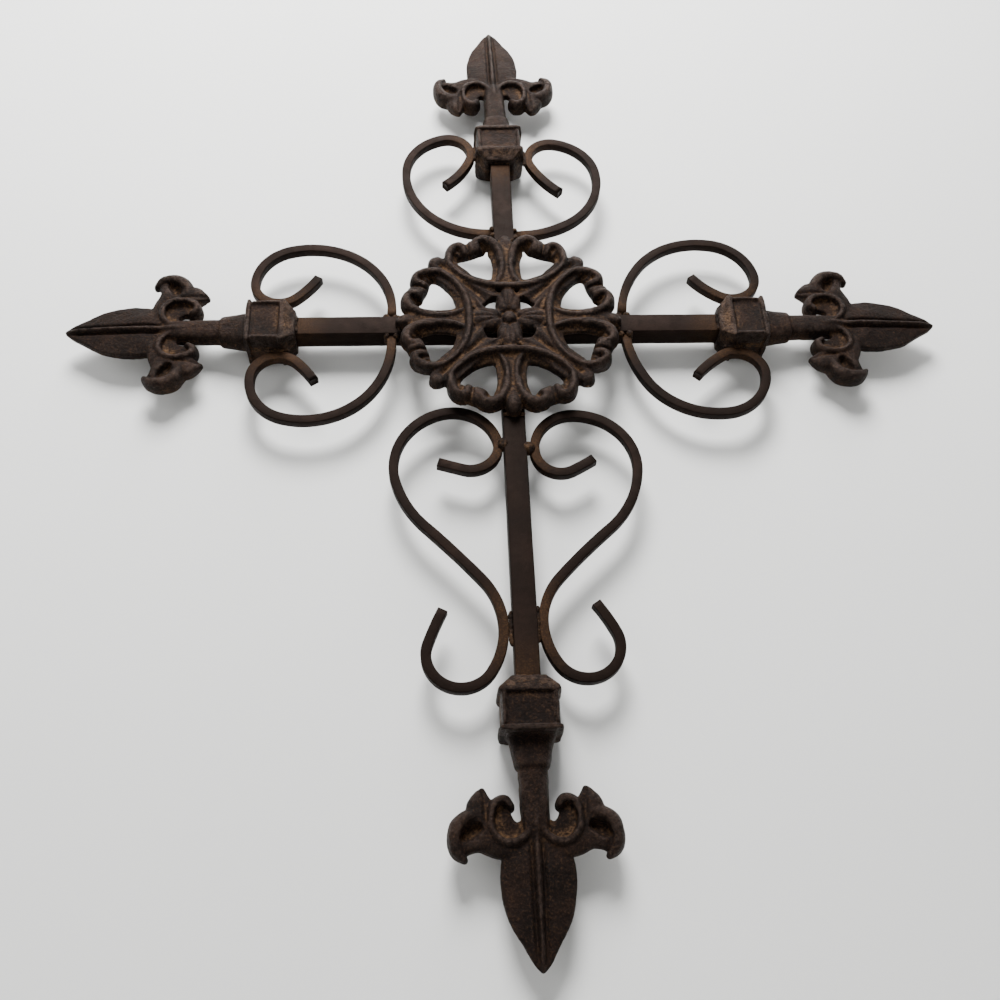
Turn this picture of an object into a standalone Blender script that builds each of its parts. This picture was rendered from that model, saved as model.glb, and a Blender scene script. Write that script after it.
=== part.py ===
"""Metal wall cross of welded square bar, bent rod scrolls, four cast finials and a cast rosette.

Metres, +Z up the upright, the front towards -Y. The origin is on the upright's back face, at the
crossing, where the cross lies against a wall."""
import bpy
import bmesh
from math import ceil, cos, pi, radians, sin
from mathutils import Matrix, Vector

# Bar stock and joints
BAR = 0.0127
ROD = 0.0054
ROD_FORWARD = 0.002
GAP = 0.0003

# Reach of each end, from the crossing to the tip of its finial
TOP_REACH = 0.2688
FOOT_REACH = 0.3577
ARM_REACH = 0.2623

# Finial casting: collar with a sloped mouth and two flanges, then the neck and the fleur-de-lis
MOUTH_LENGTH = 0.0066
MOUTH_WALL = 0.0028
SOCKET_DEPTH = 0.004
COLLAR_LENGTH = 0.0219
COLLAR_WIDTH = 0.0282
COLLAR_DEPTH = 0.0236
FLANGE_PROUD = 0.0019
FLANGE_THICK = 0.0024
FLEUR_LENGTH = 0.1072
FINIAL_LENGTH = MOUTH_LENGTH + COLLAR_LENGTH + FLEUR_LENGTH
FINIAL_LEANS = {"top": -1.2}

# Rosette casting, welded on the front of the crossing
ROSETTE_RADIUS = 0.0672
ROSETTE_HEIGHT = 0.0095

# Each scroll was bent by hand: its arm, its side of the arm, how far out its hook starts, the lean of
# the hook's free end, how far the rod stands off the collar's flange or, at the foot, off the bar,
# and its bends from that free end, as the length of each and how far it turns
SCROLLS = {
    "top_left_scroll": ("top", -1, 0.1170, -51.4, 0.0004, [
        (0.0280, 31), (0.0325, 125), (0.0390, 70), (0.0550, 61), (0.0315, 35)]),
    "top_right_scroll": ("top", 1, 0.1108, -49.9, 0.0004, [
        (0.0295, 25), (0.0325, 124), (0.0390, 71), (0.0545, 68), (0.0320, 29)]),
    "left_upper_scroll": ("left", 1, 0.1152, -59.0, 0.0006, [
        (0.0200, 18), (0.0350, 132), (0.0355, 74), (0.0580, 66), (0.0340, 41)]),
    "left_lower_scroll": ("left", -1, 0.1147, -57.6, 0.0016, [
        (0.0165, 13), (0.0345, 127), (0.0380, 81), (0.0590, 72), (0.0365, 36)]),
    "right_upper_scroll": ("right", -1, 0.1156, -54.7, 0.0018, [
        (0.0220, 25), (0.0340, 123), (0.0385, 75), (0.0555, 65), (0.0340, 29)]),
    "right_lower_scroll": ("right", 1, 0.1103, -48.6, 0.0014, [
        (0.0215, 16), (0.0355, 128), (0.0380, 76), (0.0555, 69), (0.0355, 28)]),
    "lower_left_scroll": ("foot", 1, 0.0949, -72.3, 0.0006, [
        (0.0140, -1), (0.0335, -123), (0.0420, -93), (0.0545, -85), (0.0335, -31),
        (0.0435, 5), (0.0550, 74), (0.0520, 166), (0.0195, 7)]),
    "lower_right_scroll": ("foot", -1, 0.0940, -57.1, 0.0006, [
        (0.0135, -5), (0.0265, -108), (0.0400, -100), (0.0580, -97), (0.0415, -42),
        (0.0405, 7), (0.0520, 76), (0.0525, 171), (0.0180, 10)]),
}
BEND_STEP = 20
LONGEST_STEP = 0.017
TURNS = {"top": 0, "right": 90, "foot": 180, "left": 270}
REACHES = {"top": TOP_REACH, "right": ARM_REACH, "foot": FOOT_REACH, "left": ARM_REACH}

# The scrolls above are drawn on bars that show this many millimetres, and grow with their bar
SCROLLS_DRAWN = {"top": 133.1, "right": 126.6, "foot": 222.0, "left": 126.6}

# Cross-sections of the bars and of the castings' limbs: across, and up from the middle or the flat back
SQUARE = [(-1, -1), (1, -1), (1, 1), (-1, 1)]
ROUND = [(cos(k * pi / 3), sin(k * pi / 3)) for k in range(6)]
BEAD = [(-1, 0), (-0.8, 0.75), (0, 1), (0.8, 0.75), (1, 0)]
GROOVED = [(-1, 0), (-0.85, 0.78), (-0.4, 1), (1, 0.16), (1, 0)]

# The fleur-de-lis is drawn at this length from its tip to the collar. Each row gives the place
# across and down from the tip, the half width and the half depth.
FLEUR_DRAWN = 107.2
LEAF_EDGE = 2.4
LEAF = [(0, 0, 1.2, 2.2), (0, 8, 5.3, 3.2), (0, 18, 10.3, 4.0), (0, 28, 15.4, 4.6),
        (0, 38, 17.5, 5.0), (0, 47, 16.6, 5.2), (0, 57, 11.5, 5.4)]
NECK = [(0, 52, 2.0, 3.0), (0, 62, 6.8, 5.6), (0, 91.0, 7.6, 6.2), (0, 92.5, 9.0, 6.9),
        (0, 103.0, 11.2, 8.0), (0, 107.5, 14.0, 10.4)]
VOLUTE_RIM = [(1, 66, 2.2, 4.0), (5.5, 59, 2.8, 5.4), (12, 56.2, 2.8, 6.0), (18.5, 59, 2.8, 6.2),
              (21, 66.5, 2.6, 6.2), (18.6, 74.4, 2.5, 6.0), (12.8, 76.6, 2.5, 5.4), (9.6, 72.2, 2.2, 4.4)]
VOLUTE_DISH = [(3, 66, 2.2, 2.4), (9.5, 61.2, 4.2, 2.9), (15.2, 64, 5.8, 2.9), (16.5, 70, 5.0, 2.9),
               (14.4, 74.5, 2.8, 2.6)]
SPUR = [(22, 61, 4.4, 4.6), (25.8, 70.5, 7.0, 5.0), (25.9, 76.5, 4.4, 4.2), (24.8, 82, 0.9, 2.0)]
LOBE = [(11.5, 52.5, 3.6, 3.6), (18, 55.8, 5.6, 4.8), (31, 64.5, 6.8, 5.4), (36.6, 62, 4.8, 5.0),
        (38.0, 55.5, 3.4, 4.4), (35, 50.5, 2.4, 3.4), (32, 48.0, 0.9, 1.8)]
LOBE_DISH = [(24, 58, 3.4, 2.4), (30, 57.6, 4.4, 2.5), (35, 56.5, 3.0, 2.4)]

# The rosette is drawn at this radius and height. Each row gives the place out from the middle and
# aside, the half width and the height. The lists are one quarter's, the rest are its turns.
ROSETTE_DRAWN = 67.5
HEIGHT_DRAWN = 9.5
HORSESHOE = [(26.0, 0, 4.8, 9.4), (26.7, 10.5, 4.7, 9.4), (30.0, 20.6, 4.4, 9.2), (35.8, 28.6, 4.2, 8.9),
             (42.2, 33.3, 3.9, 8.8), (48.0, 33.8, 4.2, 9.2), (51.8, 31.4, 5.6, 9.5), (54.6, 27.6, 5.0, 8.6),
             (57.0, 22.6, 2.4, 5.5)]
STEM = [(28, 7.5, 3.0, 7.6), (34, 5.0, 3.8, 7.2), (41, 4.4, 3.9, 7.0), (48.5, 4.8, 4.2, 7.4),
        (53.6, 7.4, 5.0, 8.4), (56.8, 11, 6.8, 9.2), (57.8, 15.0, 7.4, 9.4), (57.0, 19.2, 5.8, 8.2),
        (56.0, 24.0, 2.4, 5.0)]
BUD = [(46, 0, 2.6, 5.0), (59, 0, 4.9, 8.9), (63.8, 0, 4.6, 9.0), (67.5, 0, 1.4, 3.0)]
PETAL = [(1, 0, 4.0, 7.0), (8, 0, 7.4, 8.4), (14.5, 0, 6.4, 8.2), (22.4, 0, 2.6, 6.4)]
EYE = [(-5.4, 0, 1.6, 6.5), (-2.8, 0, 4.8, 9.6), (2.8, 0, 4.8, 9.6), (5.4, 0, 1.6, 6.5)]
WEB = [(19.2, 0, 5.2, 4.6), (25, 0, 8.0, 5.6), (38, 0, 7.4, 6.0), (51, 0, 7.8, 6.0), (57, 0, 7.2, 5.6),
       (62.5, 0, 5.2, 7.2), (66.2, 0, 1.8, 3.0)]


def clear_scene():
    for obj in list(bpy.data.objects):
        bpy.data.objects.remove(obj, do_unlink=True)


def metal(name, colour, roughness):
    """Principled metal with its colour in linear values."""
    material = bpy.data.materials.new(name)
    material.use_nodes = True
    shader = material.node_tree.nodes["Principled BSDF"]
    shader.inputs["Base Color"].default_value = (*colour, 1)
    shader.inputs["Metallic"].default_value = 0.8
    shader.inputs["Roughness"].default_value = roughness
    material.diffuse_color = (*colour, 1)
    return material


def close_rings(bm, rings):
    """Skin the rings one to the next and cap both ends."""
    for ring, following in zip(rings, rings[1:]):
        for k in range(len(ring)):
            n = (k + 1) % len(ring)
            bm.faces.new((ring[k], ring[n], following[n], following[k]))
    bm.faces.new(reversed(rings[0]))
    bm.faces.new(rings[-1])


def sweep(bm, rows, section, frame=Matrix.Identity(4), side=1):
    """Sweep a section along flat rows of (across, along, half width, height)."""
    rings = []
    for k, (u, v, width, height) in enumerate(rows):
        before, after = rows[max(k - 1, 0)], rows[min(k + 1, len(rows) - 1)]
        run = Vector((after[0] - before[0], after[1] - before[1])).normalized()
        ring = []
        for across, up in section:
            offset = side * across * width
            point = Vector((u - run.y * offset, -up * height, v + run.x * offset))
            ring.append(bm.verts.new(frame @ point))
        rings.append(ring)
    close_rings(bm, rings)


def loft(bm, stations):
    """Loft cut-cornered rectangles given as (along, half width, half depth, corner)."""
    rings = []
    for v, w, d, c in stations:
        corners = [(w, c - d), (w, d - c), (w - c, d), (c - w, d)]
        corners += [(-x, -y) for x, y in corners]
        rings.append([bm.verts.new((u, y, v)) for u, y in corners])
    close_rings(bm, rings)


def mesh_of(bm, name):
    bmesh.ops.recalc_face_normals(bm, faces=bm.faces)
    mesh = bpy.data.meshes.new(name)
    bm.to_mesh(mesh)
    bm.free()
    return mesh


def add_object(name, mesh, material):
    obj = bpy.data.objects.new(name, mesh)
    bpy.context.collection.objects.link(obj)
    if material and material.name not in mesh.materials:
        mesh.materials.append(material)
    return obj


def fuse(name, limbs, cutter):
    """One closed mesh from overlapping closed limbs, less the cutter."""
    obj = add_object(name + "_limbs", mesh_of(limbs, name + "_limbs"), None)
    guide = add_object(name + "_cutter", mesh_of(cutter, name + "_cutter"), None)
    guide.hide_render = True
    guide.display_type = "WIRE"
    cut = obj.modifiers.new("Cut", "BOOLEAN")
    cut.operation = "DIFFERENCE"
    cut.solver = "EXACT"
    cut.use_self = True
    cut.object = guide
    evaluated = obj.evaluated_get(bpy.context.evaluated_depsgraph_get())
    mesh = bpy.data.meshes.new_from_object(evaluated)
    mesh.name = name
    for helper in (obj, guide):
        bpy.data.objects.remove(helper, do_unlink=True)
    return mesh


def box(bm, low, high):
    matrix = Matrix.Translation((Vector(low) + Vector(high)) / 2)
    size = Vector(high) - Vector(low)
    bmesh.ops.create_cube(bm, size=1, matrix=matrix @ Matrix.Diagonal((*size, 1)))


def bars(material):
    """The upright and the two arms that butt against it, their ends cut down to enter the sockets."""
    half, tenon = BAR / 2, BAR / 2 - GAP

    def outer_end(arm):
        """Shoulder and tenon, as (out, half width)."""
        lip = REACHES[arm] - FINIAL_LENGTH
        return [(lip - GAP, half), (lip - GAP, tenon), (lip + SOCKET_DEPTH, tenon)]

    foot = [(-out, width) for out, width in reversed(outer_end("foot"))]
    runs = {"upright_bar": ("top", foot + outer_end("top")),
            "right_arm_bar": ("right", [(half + GAP, half)] + outer_end("right")),
            "left_arm_bar": ("left", [(half + GAP, half)] + outer_end("left"))}
    for name, (side, stations) in runs.items():
        bm = bmesh.new()
        close_rings(bm, [[bm.verts.new((x * width, y * width, out)) for x, y in SQUARE]
                         for out, width in stations])
        obj = add_object(name, mesh_of(bm, name), material)
        obj.location = (0, -half, 0)
        obj.rotation_euler = (0, radians(TURNS[side]), 0)


def finial_mesh():
    """The finial casting, its mouth at the origin and its tip up Z."""
    bm = bmesh.new()
    mouth = BAR / 2 + GAP + MOUTH_WALL
    wide, deep = COLLAR_WIDTH / 2, COLLAR_DEPTH / 2
    collar_end = MOUTH_LENGTH + COLLAR_LENGTH
    flange = (wide + FLANGE_PROUD, deep + FLANGE_PROUD, FLANGE_THICK / 4)
    block = (wide, deep, FLANGE_THICK / 4)
    loft(bm, [(0, mouth, mouth, FLANGE_THICK / 2),
              (MOUTH_LENGTH - FLANGE_THICK / 3, wide, deep, FLANGE_THICK / 2),
              (MOUTH_LENGTH, *flange),
              (MOUTH_LENGTH + FLANGE_THICK, *flange),
              (MOUTH_LENGTH + FLANGE_THICK * 1.2, *block),
              (collar_end - FLANGE_THICK * 1.2, *block),
              (collar_end - FLANGE_THICK, *flange),
              (collar_end, *flange)])
    scale = FLEUR_LENGTH / FLEUR_DRAWN
    frame = Matrix.Translation((0, 0, FINIAL_LENGTH)) @ Matrix.Diagonal((scale, scale, -scale, 1))
    edge = LEAF_EDGE / LEAF[4][3]
    blade = [(1, edge), (0, 1), (-1, edge), (-1, -edge), (0, -1), (1, -edge)]
    sweep(bm, LEAF, blade, frame)
    stem = [(cos(a), sin(a)) for a in (pi / 8 + k * pi / 4 for k in range(8))]
    sweep(bm, NECK, [(x * 1.08, y * 1.08) for x, y in stem], frame)
    for side in (-1, 1):
        mirror = frame @ Matrix.Diagonal((side, 1, 1, 1))
        for limb in (VOLUTE_RIM, VOLUTE_DISH, SPUR, LOBE, LOBE_DISH):
            sweep(bm, limb, ROUND, mirror)
    socket = bmesh.new()
    bore = BAR / 2 + GAP
    box(socket, (-bore, -bore, -MOUTH_LENGTH), (bore, bore, SOCKET_DEPTH + GAP))
    return fuse("finial", bm, socket)


def finials(material):
    mesh = finial_mesh()
    names = {"top": "top_finial", "right": "right_finial", "foot": "bottom_finial", "left": "left_finial"}
    for arm, name in names.items():
        turn = radians(TURNS[arm])
        out = Vector((sin(turn), 0, cos(turn)))
        obj = add_object(name, mesh, material)
        obj.location = out * (REACHES[arm] - FINIAL_LENGTH) + Vector((0, -BAR / 2, 0))
        obj.rotation_euler = (0, turn + radians(FINIAL_LEANS.get(arm, 0)), 0)


def bent(bends):
    """Centreline of a bent rod from its free end, as places and headings."""
    x = y = heading = 0.0
    line = [(x, y, heading)]
    for length, turn in bends:
        steps = max(ceil(abs(turn) / BEND_STEP), ceil(length / LONGEST_STEP))
        for _ in range(steps):
            heading += radians(turn) / steps / 2
            x += length / steps * cos(heading)
            y += length / steps * sin(heading)
            heading += radians(turn) / steps / 2
            line.append((x, y, heading))
    return line


def placed(line, start, lean, clear, near):
    """Turn a line by its lean, start it this far out, and bring its near points this close to the arm."""
    c, s = cos(radians(lean)), sin(radians(lean))
    turned = [(x * c - y * s, x * s + y * c, heading + radians(lean)) for x, y, heading in line]
    lowest = min(y for _, y, _ in turned[:near])
    return [(x + start - turned[0][0], y + clear - lowest, heading) for x, y, heading in turned]


def scroll_line(arm, start, lean, stand_off, bends):
    """The scroll's centreline as (out along the arm, away from it, heading)."""
    grow = (REACHES[arm] - FINIAL_LENGTH) * 1000 / SCROLLS_DRAWN[arm]
    line = [(x * grow, y * grow, heading) for x, y, heading in bent(bends)]
    if arm == "foot":
        return placed(line, start * grow, lean, (BAR + ROD) / 2 + stand_off, len(line))
    flange = COLLAR_WIDTH / 2 + FLANGE_PROUD
    line = placed(line, start * grow, lean, flange + ROD / 2 + stand_off, len(line) * 2 // 3)
    while line[-1][1] < BAR / 2 + ROD:
        line.pop()
    x, y, heading = line[-1]
    foot = BAR / 2 + GAP + abs(cos(heading)) * ROD / 2
    run = (y - foot) / -sin(heading)
    return line + [(x + run * cos(heading), y + run * sin(heading), heading)]


def scrolls(material):
    """Square rod along each centreline, set a little forward of the bars' middle."""
    for name, (arm, side, start, lean, stand_off, bends) in SCROLLS.items():
        bm = bmesh.new()
        rings = []
        for out, away, heading in scroll_line(arm, start, lean, stand_off, bends):
            across = Vector((side * cos(heading), 0, -sin(heading))) * ROD / 2
            middle = Vector((side * away, -ROD_FORWARD, out))
            deep = Vector((0, ROD / 2, 0))
            corners = (across - deep, across + deep, deep - across, -across - deep)
            rings.append([bm.verts.new(middle + corner) for corner in corners])
        close_rings(bm, rings)
        obj = add_object(name, mesh_of(bm, name), material)
        obj.location = (0, -BAR / 2, 0)
        obj.rotation_euler = (0, radians(TURNS[arm]), 0)


def rosette(material):
    """Four horseshoes with two stems each, buds and webs between, and a flower in the middle."""
    bm = bmesh.new()
    scale = ROSETTE_RADIUS / ROSETTE_DRAWN
    size = Matrix.Diagonal((scale, ROSETTE_HEIGHT / HEIGHT_DRAWN, scale, 1))
    out_up = Matrix(((0, 0, 1, 0), (0, 1, 0, 0), (1, 0, 0, 0), (0, 0, 0, 1)))

    def frame(turn, sunk):
        """A limb's frame, turned about the middle and sunk a little into the flat back."""
        back = Matrix.Translation((0, sunk * GAP, 0))
        return back @ Matrix.Rotation(radians(turn), 4, "Y") @ size @ out_up

    for turn in (0, 90, 180, 270):
        mirrored = [(r, -s, w, h) for r, s, w, h in HORSESHOE[:0:-1]]
        sweep(bm, mirrored + HORSESHOE, GROOVED, frame(turn, 1), -1)
        for side in (-1, 1):
            rows = [(r, side * s, w, h) for r, s, w, h in STEM]
            sweep(bm, rows, GROOVED, frame(turn, 2), side)
        sweep(bm, BUD, BEAD, frame(turn, 3))
        sweep(bm, PETAL, BEAD, frame(turn, 4))
        sweep(bm, WEB, BEAD, frame(turn + 45, 5))
    sweep(bm, EYE, BEAD, frame(0, 6))
    trim = bmesh.new()
    far = 2 * ROSETTE_RADIUS
    box(trim, (-far, 0, -far), (far, BAR, far))
    obj = add_object("rosette", fuse("rosette", bm, trim), material)
    obj.location = (0, -BAR - GAP, 0)


def main():
    clear_scene()
    wrought = metal("dark_bar_iron", (0.027, 0.02, 0.018), 0.5)
    cast = metal("rusty_cast_iron", (0.045, 0.028, 0.02), 0.75)
    bars(wrought)
    finials(cast)
    scrolls(wrought)
    rosette(cast)


main()
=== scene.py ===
"""Looks of the metal wall cross: worn bar stock and bent rods, sand-cast finials and rosette, and welds.

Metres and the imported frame's axes: +Z up the upright, the front towards -Y, the wall behind at +Y.
The castings are drawn in millimetres and skinned from a field of distances."""

from math import ceil, cos, pi, radians, sin

import bpy
import numpy as np
from mathutils import Matrix, Vector, noise

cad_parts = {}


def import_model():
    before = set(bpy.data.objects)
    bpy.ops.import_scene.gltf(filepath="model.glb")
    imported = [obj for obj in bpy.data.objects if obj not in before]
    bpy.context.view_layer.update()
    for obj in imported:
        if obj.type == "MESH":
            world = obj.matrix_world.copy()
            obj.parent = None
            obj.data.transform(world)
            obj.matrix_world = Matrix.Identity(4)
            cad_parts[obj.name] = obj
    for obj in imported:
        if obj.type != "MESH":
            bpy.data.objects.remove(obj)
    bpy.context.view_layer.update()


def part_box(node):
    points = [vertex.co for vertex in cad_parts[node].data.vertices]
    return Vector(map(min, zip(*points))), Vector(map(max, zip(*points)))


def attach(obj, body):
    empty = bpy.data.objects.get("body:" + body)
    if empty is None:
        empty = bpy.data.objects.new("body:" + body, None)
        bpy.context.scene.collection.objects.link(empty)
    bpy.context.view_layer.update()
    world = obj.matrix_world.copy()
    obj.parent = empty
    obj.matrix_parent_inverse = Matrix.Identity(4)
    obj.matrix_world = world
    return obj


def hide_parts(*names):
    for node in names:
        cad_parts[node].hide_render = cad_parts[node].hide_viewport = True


# Sizes of the solids, in metres
BAR = 0.0127
ROD = 0.0054
ROD_FORWARD = 0.002
GAP = 0.0003
REACHES = {"top": 0.2688, "right": 0.2623, "foot": 0.3577, "left": 0.2623}
TURNS = {"top": 0, "right": 90, "foot": 180, "left": 270}
LEANS = {"top": -1.2}
FINIAL_LENGTH = 0.1357
FLANGE_EDGE = 0.016
WALL = 0.0078
FLOOR = -1.1

# The browning beside a weld fades over this length, in metres. Its attribute is called weld_heat, as
# the renderer keeps the plain name heat for smoke
HEAT_REACH = 0.017

# Weld beads' radii, in millimetres
BUTTON = 2.9
FILLET = 1.9
SEAM = 1.1
MOUTH_BEAD = 0.9

# Finial, in millimetres from its tip: the collar starts at 107.2 and its mouth ends at 135.7
COLLAR = [(107.2, 15.8, 13.4), (109.6, 16.1, 13.55), (110.0, 14.7, 11.8), (126.2, 14.7, 11.8),
          (126.6, 16.1, 13.55), (129.1, 15.9, 13.4), (135.7, 9.45, 9.45)]

# Each scroll was bent by hand: its arm, side, where its hook starts, the hook's lean, how far it
# stands off the collar or the bar, and its bends as the length of each and how far it turns
SCROLLS = {
    "top_left_scroll": ("top", -1, 0.1170, -51.4, 0.0004, [
        (0.0280, 31), (0.0325, 125), (0.0390, 70), (0.0550, 61), (0.0315, 35)]),
    "top_right_scroll": ("top", 1, 0.1108, -49.9, 0.0004, [
        (0.0295, 25), (0.0325, 124), (0.0390, 71), (0.0545, 68), (0.0320, 29)]),
    "left_upper_scroll": ("left", 1, 0.1152, -59.0, 0.0006, [
        (0.0200, 18), (0.0350, 132), (0.0355, 74), (0.0580, 66), (0.0340, 41)]),
    "left_lower_scroll": ("left", -1, 0.1147, -57.6, 0.0016, [
        (0.0165, 13), (0.0345, 127), (0.0380, 81), (0.0590, 72), (0.0365, 36)]),
    "right_upper_scroll": ("right", -1, 0.1156, -54.7, 0.0018, [
        (0.0220, 25), (0.0340, 123), (0.0385, 75), (0.0555, 65), (0.0340, 29)]),
    "right_lower_scroll": ("right", 1, 0.1103, -48.6, 0.0014, [
        (0.0215, 16), (0.0355, 128), (0.0380, 76), (0.0555, 69), (0.0355, 28)]),
    "lower_left_scroll": ("foot", 1, 0.0949, -72.3, 0.0006, [
        (0.0140, -1), (0.0335, -123), (0.0420, -93), (0.0545, -85), (0.0335, -31),
        (0.0435, 5), (0.0550, 74), (0.0520, 166), (0.0195, 7)]),
    "lower_right_scroll": ("foot", -1, 0.0940, -57.1, 0.0006, [
        (0.0135, -5), (0.0265, -108), (0.0400, -100), (0.0580, -97), (0.0415, -42),
        (0.0405, 7), (0.0520, 76), (0.0525, 171), (0.0180, 10)]),
}


# Nodes and colours

def linear(code):
    """Linear colour of an sRGB hex value."""
    parts = [int(code[k:k + 2], 16) / 255 for k in (1, 3, 5)]
    return (*[c / 12.92 if c < 0.04045 else ((c + 0.055) / 1.055) ** 2.4 for c in parts], 1)


def node(tree, kind, inputs=(), out=None, stops=(), **settings):
    """Adds a node and gives one of its outputs. Inputs are values or other outputs, in the order of the
    sockets in use or by name. Hex values stand for colours, and stops are a ramp's (place, hex)."""
    made = tree.nodes.new(kind)
    for key, value in settings.items():
        setattr(made, key, value)
    sockets = [socket for socket in made.inputs if socket.enabled]
    named = {socket.name: socket for socket in sockets}
    pairs = inputs.items() if isinstance(inputs, dict) else enumerate(inputs)
    for key, value in pairs:
        socket = named[key] if isinstance(key, str) else sockets[key]
        if isinstance(value, bpy.types.NodeSocket):
            tree.links.new(value, socket)
        else:
            socket.default_value = linear(value) if isinstance(value, str) else value
    for k, (place, code) in enumerate(stops):
        band = made.color_ramp.elements
        element = band[k] if k < 2 else band.new(place)
        element.position = place
        element.color = linear(code)
    return made.outputs[out] if out else next(socket for socket in made.outputs if socket.enabled)


def new_material(name):
    """A material with its node tree and its surface shader."""
    material = bpy.data.materials.new(name)
    material.use_nodes = True
    tree = material.node_tree
    return material, tree, tree.nodes["Principled BSDF"]


def sand_cast_iron():
    """Cast iron poured in green sand, left to rust and then waxed dark brown. The sand leaves a grain,
    drawn at 1 mm so that it shows as a fine crust. Golden-brown rust powder has stayed in the hollows,
    and the ridges that hands reach are rubbed smoother and a little greyer, with a low sheen."""
    material, tree, shader = new_material("sand_cast_iron")
    place = node(tree, "ShaderNodeTexCoord", out="Object")
    hollow = node(tree, "ShaderNodeAttribute", out="Fac", attribute_name="hollow")
    ridge = node(tree, "ShaderNodeAttribute", out="Fac", attribute_name="ridge")
    grit = node(tree, "ShaderNodeTexNoise", [place, 1000 / 1.1, 4.0, 0.7])
    pits = node(tree, "ShaderNodeTexNoise", [place, 1000 / 2.6, 5.0, 0.65])
    cloud = node(tree, "ShaderNodeTexNoise", [place, 1000 / 16, 3.0, 0.55])
    mottle = node(tree, "ShaderNodeMath", [cloud, grit], operation="ADD")
    mottle = node(tree, "ShaderNodeMath", [mottle, 0.5], operation="MULTIPLY")
    wax = node(tree, "ShaderNodeValToRGB", [mottle],
               stops=[(0.36, "#0d0806"), (0.62, "#281b14"), (0.5, "#180f0b")])
    rust = node(tree, "ShaderNodeValToRGB", [grit],
                stops=[(0.32, "#1e140d"), (0.74, "#8a6b47"), (0.46, "#3c2b1d"), (0.6, "#604831")])
    patch = node(tree, "ShaderNodeMapRange", [pits, 0.36, 0.6])
    drift = node(tree, "ShaderNodeMapRange", [cloud, 0.34, 0.6, 0.35, 1.25])
    dust = node(tree, "ShaderNodeMath", [hollow, patch], operation="MULTIPLY")
    dust = node(tree, "ShaderNodeMath", [dust, drift], operation="MULTIPLY")
    dust = node(tree, "ShaderNodeMapRange", [dust, 0.06, 0.5, 0.0, 0.92])
    colour = node(tree, "ShaderNodeMix", [dust, wax, rust], data_type="RGBA")
    fleck = node(tree, "ShaderNodeMapRange", [grit, 0.53, 0.66, 0.0, 0.6])
    colour = node(tree, "ShaderNodeMix", [fleck, colour, "#3f2d1e"], data_type="RGBA")
    rub = node(tree, "ShaderNodeMapRange", [pits, 0.3, 0.62])
    rub = node(tree, "ShaderNodeMath", [ridge, rub], operation="MULTIPLY")
    rub = node(tree, "ShaderNodeMapRange", [rub, 0.2, 0.9, 0.0, 0.5])
    colour = node(tree, "ShaderNodeMix", [rub, colour, "#372c26"], data_type="RGBA")
    tree.links.new(colour, shader.inputs["Base Color"])
    shader.inputs["Metallic"].default_value = 0.85
    rough = node(tree, "ShaderNodeMapRange", [rub, 0.0, 0.5, 0.66, 0.48])
    tree.links.new(rough, shader.inputs["Roughness"])
    fine = node(tree, "ShaderNodeBump", {"Height": grit, "Strength": 1.0, "Distance": 0.0008})
    coarse = node(tree, "ShaderNodeBump",
                  {"Height": pits, "Strength": 0.7, "Distance": 0.0009, "Normal": fine})
    tree.links.new(coarse, shader.inputs["Normal"])
    return material


def bar_iron():
    """Hot-rolled mild steel bar, torch-bent and waxed dark. Its mill scale is smooth, so it keeps a
    satin sheen under faint clouds, and heat has browned it beside the welds."""
    material, tree, shader = new_material("waxed_bar_iron")
    place = node(tree, "ShaderNodeTexCoord", out="Object")
    heat = node(tree, "ShaderNodeAttribute", out="Fac", attribute_name="weld_heat")
    edge = node(tree, "ShaderNodeAttribute", out="Fac", attribute_name="ridge")
    scale = node(tree, "ShaderNodeTexNoise", [place, 1000 / 5, 5.0, 0.6])
    grain = node(tree, "ShaderNodeTexNoise", [place, 1000 / 0.9, 3.0, 0.6])
    cloud = node(tree, "ShaderNodeTexNoise", [place, 1000 / 28, 3.0, 0.5])
    tone = node(tree, "ShaderNodeValToRGB", [cloud],
                stops=[(0.3, "#120c09"), (0.75, "#201611"), (0.52, "#18100c")])
    stain = node(tree, "ShaderNodeMapRange", [scale, 0.5, 0.68, 0.0, 0.55])
    tone = node(tree, "ShaderNodeMix", [stain, tone, "#100a07"], data_type="RGBA")
    warm = node(tree, "ShaderNodeMapRange", [scale, 0.3, 0.7, 0.3, 1.3])
    warm = node(tree, "ShaderNodeMath", [heat, warm], operation="MULTIPLY")
    warm = node(tree, "ShaderNodeMapRange", [warm, 0.1, 1.0, 0.0, 0.42])
    burnt = node(tree, "ShaderNodeValToRGB", [grain],
                 stops=[(0.3, "#2c1d12"), (0.7, "#6e4f30"), (0.5, "#45301e")])
    tone = node(tree, "ShaderNodeMix", [warm, tone, burnt], data_type="RGBA")
    worn = node(tree, "ShaderNodeMapRange", [scale, 0.35, 0.65, 0.0, 0.35])
    worn = node(tree, "ShaderNodeMath", [edge, worn], operation="MULTIPLY")
    tone = node(tree, "ShaderNodeMix", [worn, tone, "#332924"], data_type="RGBA")
    tree.links.new(tone, shader.inputs["Base Color"])
    shader.inputs["Metallic"].default_value = 0.93
    rough = node(tree, "ShaderNodeMapRange", [scale, 0.3, 0.7, 0.64, 0.8])
    tree.links.new(rough, shader.inputs["Roughness"])
    fine = node(tree, "ShaderNodeBump", {"Height": grain, "Strength": 0.3, "Distance": 0.0003})
    soft = node(tree, "ShaderNodeBump",
                {"Height": scale, "Strength": 0.4, "Distance": 0.0007, "Normal": fine})
    tree.links.new(soft, shader.inputs["Normal"])
    return material


# Drawing the castings on a flat sheet, in millimetres

def sheet(low, high, step):
    """Places across and along a flat sheet."""
    across = np.arange(low[0], high[0] + step / 2, step)
    along = np.arange(low[1], high[1] + step / 2, step)
    return np.meshgrid(across, along, indexing="ij")


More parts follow.
